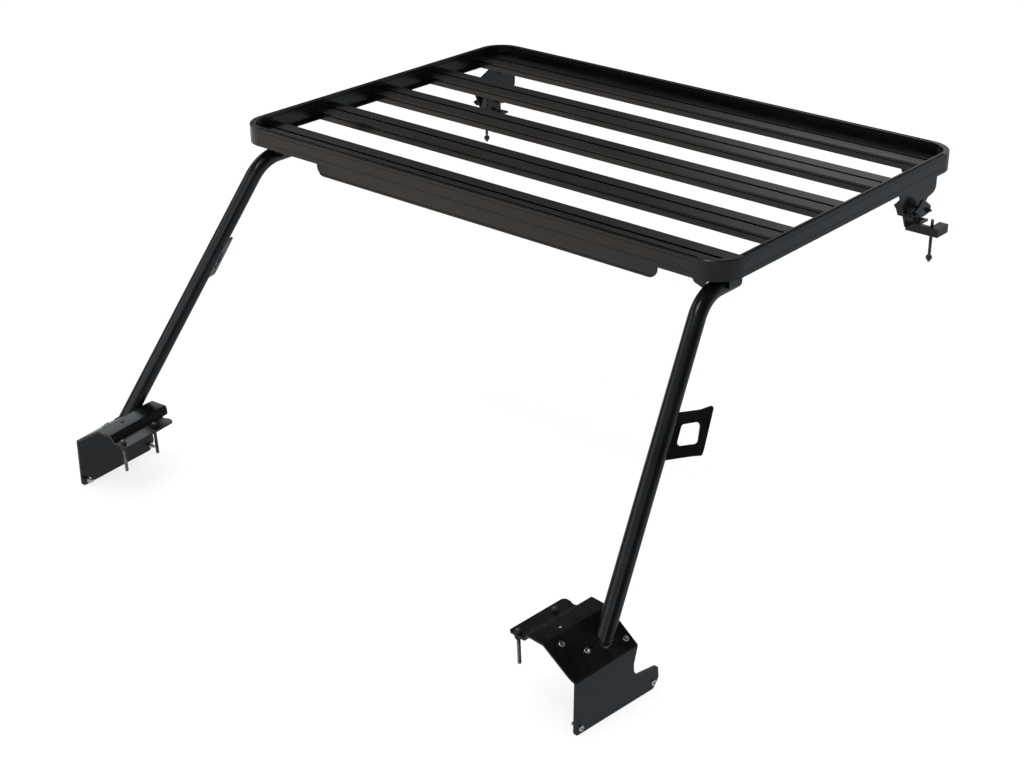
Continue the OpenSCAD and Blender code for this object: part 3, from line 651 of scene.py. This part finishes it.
# Clamp bolts: two M6 bolts hold the loose jaw and one more sits in the side plate, all threaded,
# with a nut on each side.
jaw_r, jaw_pitch, jaw_across, jaw_nut_h = 3 * mm, 1.0 * mm, 10 * mm, 5 * mm
long_bolt = 45 * mm
for side in ("left", "right"):
    outward = 1 if side == "right" else -1
    plate_low, plate_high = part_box(f"{side}_side_plate")
    jaw_low, jaw_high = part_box(f"{side}_jaw")
    outer_face = plate_high.x if side == "right" else -plate_low.x
    jaw_face = jaw_high.x if side == "right" else -jaw_low.x
    groups = []
    for turn, points in enumerate(solids_of(f"{side}_jaw_bolts")):
        middle, axis, foot, top = bolt_frame(points, (outward, 0, 0))
        thread = rolled_thread("clamp thread", jaw_r, jaw_pitch, foot, top)
        base = middle.x * outward
        seat = (jaw_face if top - foot > long_bolt else outer_face) - base
        inner = outer_face - plate_t - jaw_nut_h - base
        pair = [hexagon("clamp nut", jaw_across, jaw_nut_h, at) for at in (seat, inner)]
        bolt = join_into(thread, pair)
        bolt.data.transform(place_of(middle, axis, 0.0, 0.5 * turn))
        groups.append(bolt)
    bolts = join_into(groups[0], groups[1:])
    bolts.name = bolts.data.name = f"{side}_clamp_bolts"
    finished(bolts, black_zinc, "zinc", f"{side}_jaw_bolts")


# Draw bolts: a long M8 stud hangs from the nut on each arm's floor, with a nut near its foot.
# Drawn up, it pulls the rack down on the gutter. The stud is plain zinc, and the foot nut is black.
for side in ("left", "right"):
    middle, axis, foot, top = bolt_frame(solids_of(f"{side}_draw_bolt")[0], (0, 0, 1))
    floor_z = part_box(f"{side}_arm")[0].z + plate_t - middle.z
    thread = rolled_thread("draw thread", stud_r, thread_pitch, foot, top)
    nut = hexagon("draw bolt nut", nut_across, nut_height, floor_z)
    bolt = join_into(thread, [nut])
    bolt.data.transform(place_of(middle, axis, 0.0, 0.3))
    bolt.name = bolt.data.name = f"{side}_threaded_draw_bolt"
    finished(bolt, shade_painted_thread_zinc, "zinc", f"{side}_draw_bolt")
    nut_low, nut_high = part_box(f"{side}_draw_nut")
    nut = hexagon("foot nut", nut_across, nut_high.z - nut_low.z)
    centre = (nut_low + nut_high) / 2
    nut.data.transform(Matrix.Translation((centre.x, centre.y, nut_low.z)))
    nut.name = nut.data.name = f"{side}_draw_bolt_nut"
    finished(nut, black_zinc, "zinc", f"{side}_draw_nut")


# Floor, light and camera: a pale studio floor, warm towards the near left and cool elsewhere. The lamps
# light the coat's colour, and its reflections come from the floor, from pale panels low in the room,
# behind the rack and to its left, and from a dim wall at the back.
floor_side, floor_x, floor_y = 60.0, -0.6, 0.4
deselect()
bpy.ops.mesh.primitive_plane_add(size=floor_side, location=(floor_x, floor_y, cad_box[0][2]))
floor = added("studio_floor")
bpy.ops.object.transform_apply(location=True, rotation=True, scale=True)
paint = bpy.data.materials.new("studio floor")
paint.use_nodes = True
tree = paint.node_tree
tree.nodes.clear()
rays = tree.nodes.new("ShaderNodeLightPath").outputs
camera_ray = Wire(tree, rays["Is Camera Ray"])
mirrored = (Wire(tree, rays["Is Glossy Ray"]) + Wire(tree, rays["Is Transmission Ray"])).maths("MINIMUM", 1.0)
place = Wire(tree, tree.nodes.new("ShaderNodeTexCoord").outputs["Object"])
warm_floor, cool_floor = (0.80, 0.70, 0.63), (0.30, 0.355, 0.40)
sweep = (place.part("X") + place.part("Y")).between(-2.0, -1.2).tint(warm_floor, cool_floor)
white = sweep.node("ShaderNodeVectorMath", {"operation": "MAXIMUM"}, i0=sweep, i1=camera_ray)
shown = white.node("ShaderNodeEmission", Color=white, Strength=1.0)
lit = white.node("ShaderNodeBsdfDiffuse", Color=(0.92, 0.92, 0.92, 1))
surface = white.node("ShaderNodeMixShader", Fac=camera_ray * 0.78 + mirrored * 0.9)
tree.links.new(lit.socket, surface.socket.node.inputs[1])
tree.links.new(shown.socket, surface.socket.node.inputs[2])
target = tree.nodes.new("ShaderNodeOutputMaterial")
tree.links.new(surface.socket, target.inputs["Surface"])
floor.data.materials.append(paint)

world = bpy.data.worlds.new("studio")
bpy.context.scene.world = world
world.use_nodes = True
tree = world.node_tree
way = Wire(tree, tree.nodes.new("ShaderNodeTexCoord").outputs["Generated"])
rays = tree.nodes.new("ShaderNodeLightPath").outputs
camera_ray, diffuse_ray = Wire(tree, rays["Is Camera Ray"]), Wire(tree, rays["Is Diffuse Ray"])


def turned_to(degrees, low, high):
    """1 for the ways that lie towards this compass angle, and 0 for those away from it."""
    turn = math.radians(degrees)
    return (way.part("X") * math.cos(turn) + way.part("Y") * math.sin(turn)).between(low, high)


height = way.part("Z")
behind = turned_to(33, -0.06, 0.05) * (1 - height.between(0.325, 0.375))
behind = behind * (1 - way.part("X").between(0.4, 0.7))
left = turned_to(231, -0.06, 0.02) * height.between(0.365, 0.425) * (1 - height.between(0.50, 0.58))
back_wall = way.part("Y").between(-0.1, 0.4) * (1 - way.part("X").between(0.55, 0.85))
back_wall = back_wall * (1 - height.between(0.58, 0.70))
glow = behind * 0.75 + left * 1.9 + back_wall * (height.between(0.40, 0.52) * 0.22 + 0.07) + 0.03
room = left.tint((1.0, 0.98, 0.96), (0.88, 0.99, 1.08))
background = tree.nodes["Background"]
feed(background, "Color", room)
feed(background, "Strength", glow.maths("MAXIMUM", camera_ray).maths("MAXIMUM", diffuse_ray))


def soft_box(name, place, aim, wide, tall, watts, colour, reflected=False):
    """An area lamp that the camera doesn't see, and the coat's reflections only where told."""
    lamp = bpy.data.lights.new(name, "AREA")
    lamp.shape, lamp.size, lamp.size_y = "RECTANGLE", wide, tall
    lamp.energy, lamp.color = watts, colour
    box = bpy.data.objects.new(name, lamp)
    bpy.context.scene.collection.objects.link(box)
    box.location = place
    box.rotation_euler = (Vector(aim) - Vector(place)).to_track_quat("-Z", "Y").to_euler()
    box.visible_camera, box.visible_glossy = False, reflected


centre = (-0.6, 0.5, 0.3)
soft_box("warm box", (-2.6, -3.2, 1.4), centre, 3.0, 1.6, 30, (1.0, 0.93, 0.86))
soft_box("cool box", (3.4, 1.8, 1.2), centre, 2.6, 1.6, 20, (0.86, 0.94, 1.0))
soft_box("top box", (-0.8, 0.2, 4.2), centre, 4.0, 4.0, 80, (1.0, 1.0, 1.0))
soft_box("glint box", (-0.1, -1.4, 4.0), centre, 0.6, 0.6, 26, (1.0, 1.0, 1.0), reflected=True)

camera_spot = (1.8506, -2.2810, 1.9468)
camera_down, camera_turn = 26.004, 39.955
camera_lens, camera_shift = 62.87, -0.0333
lens = bpy.data.cameras.new("photo camera")
lens.sensor_width, lens.lens, lens.shift_x = 36.0, camera_lens, camera_shift
camera = bpy.data.objects.new("photo camera", lens)
bpy.context.scene.collection.objects.link(camera)
camera.location = camera_spot
camera.rotation_euler = (math.radians(90 - camera_down), 0, math.radians(camera_turn))
bpy.context.scene.camera = camera
bpy.context.scene.view_settings.view_transform = "Standard"
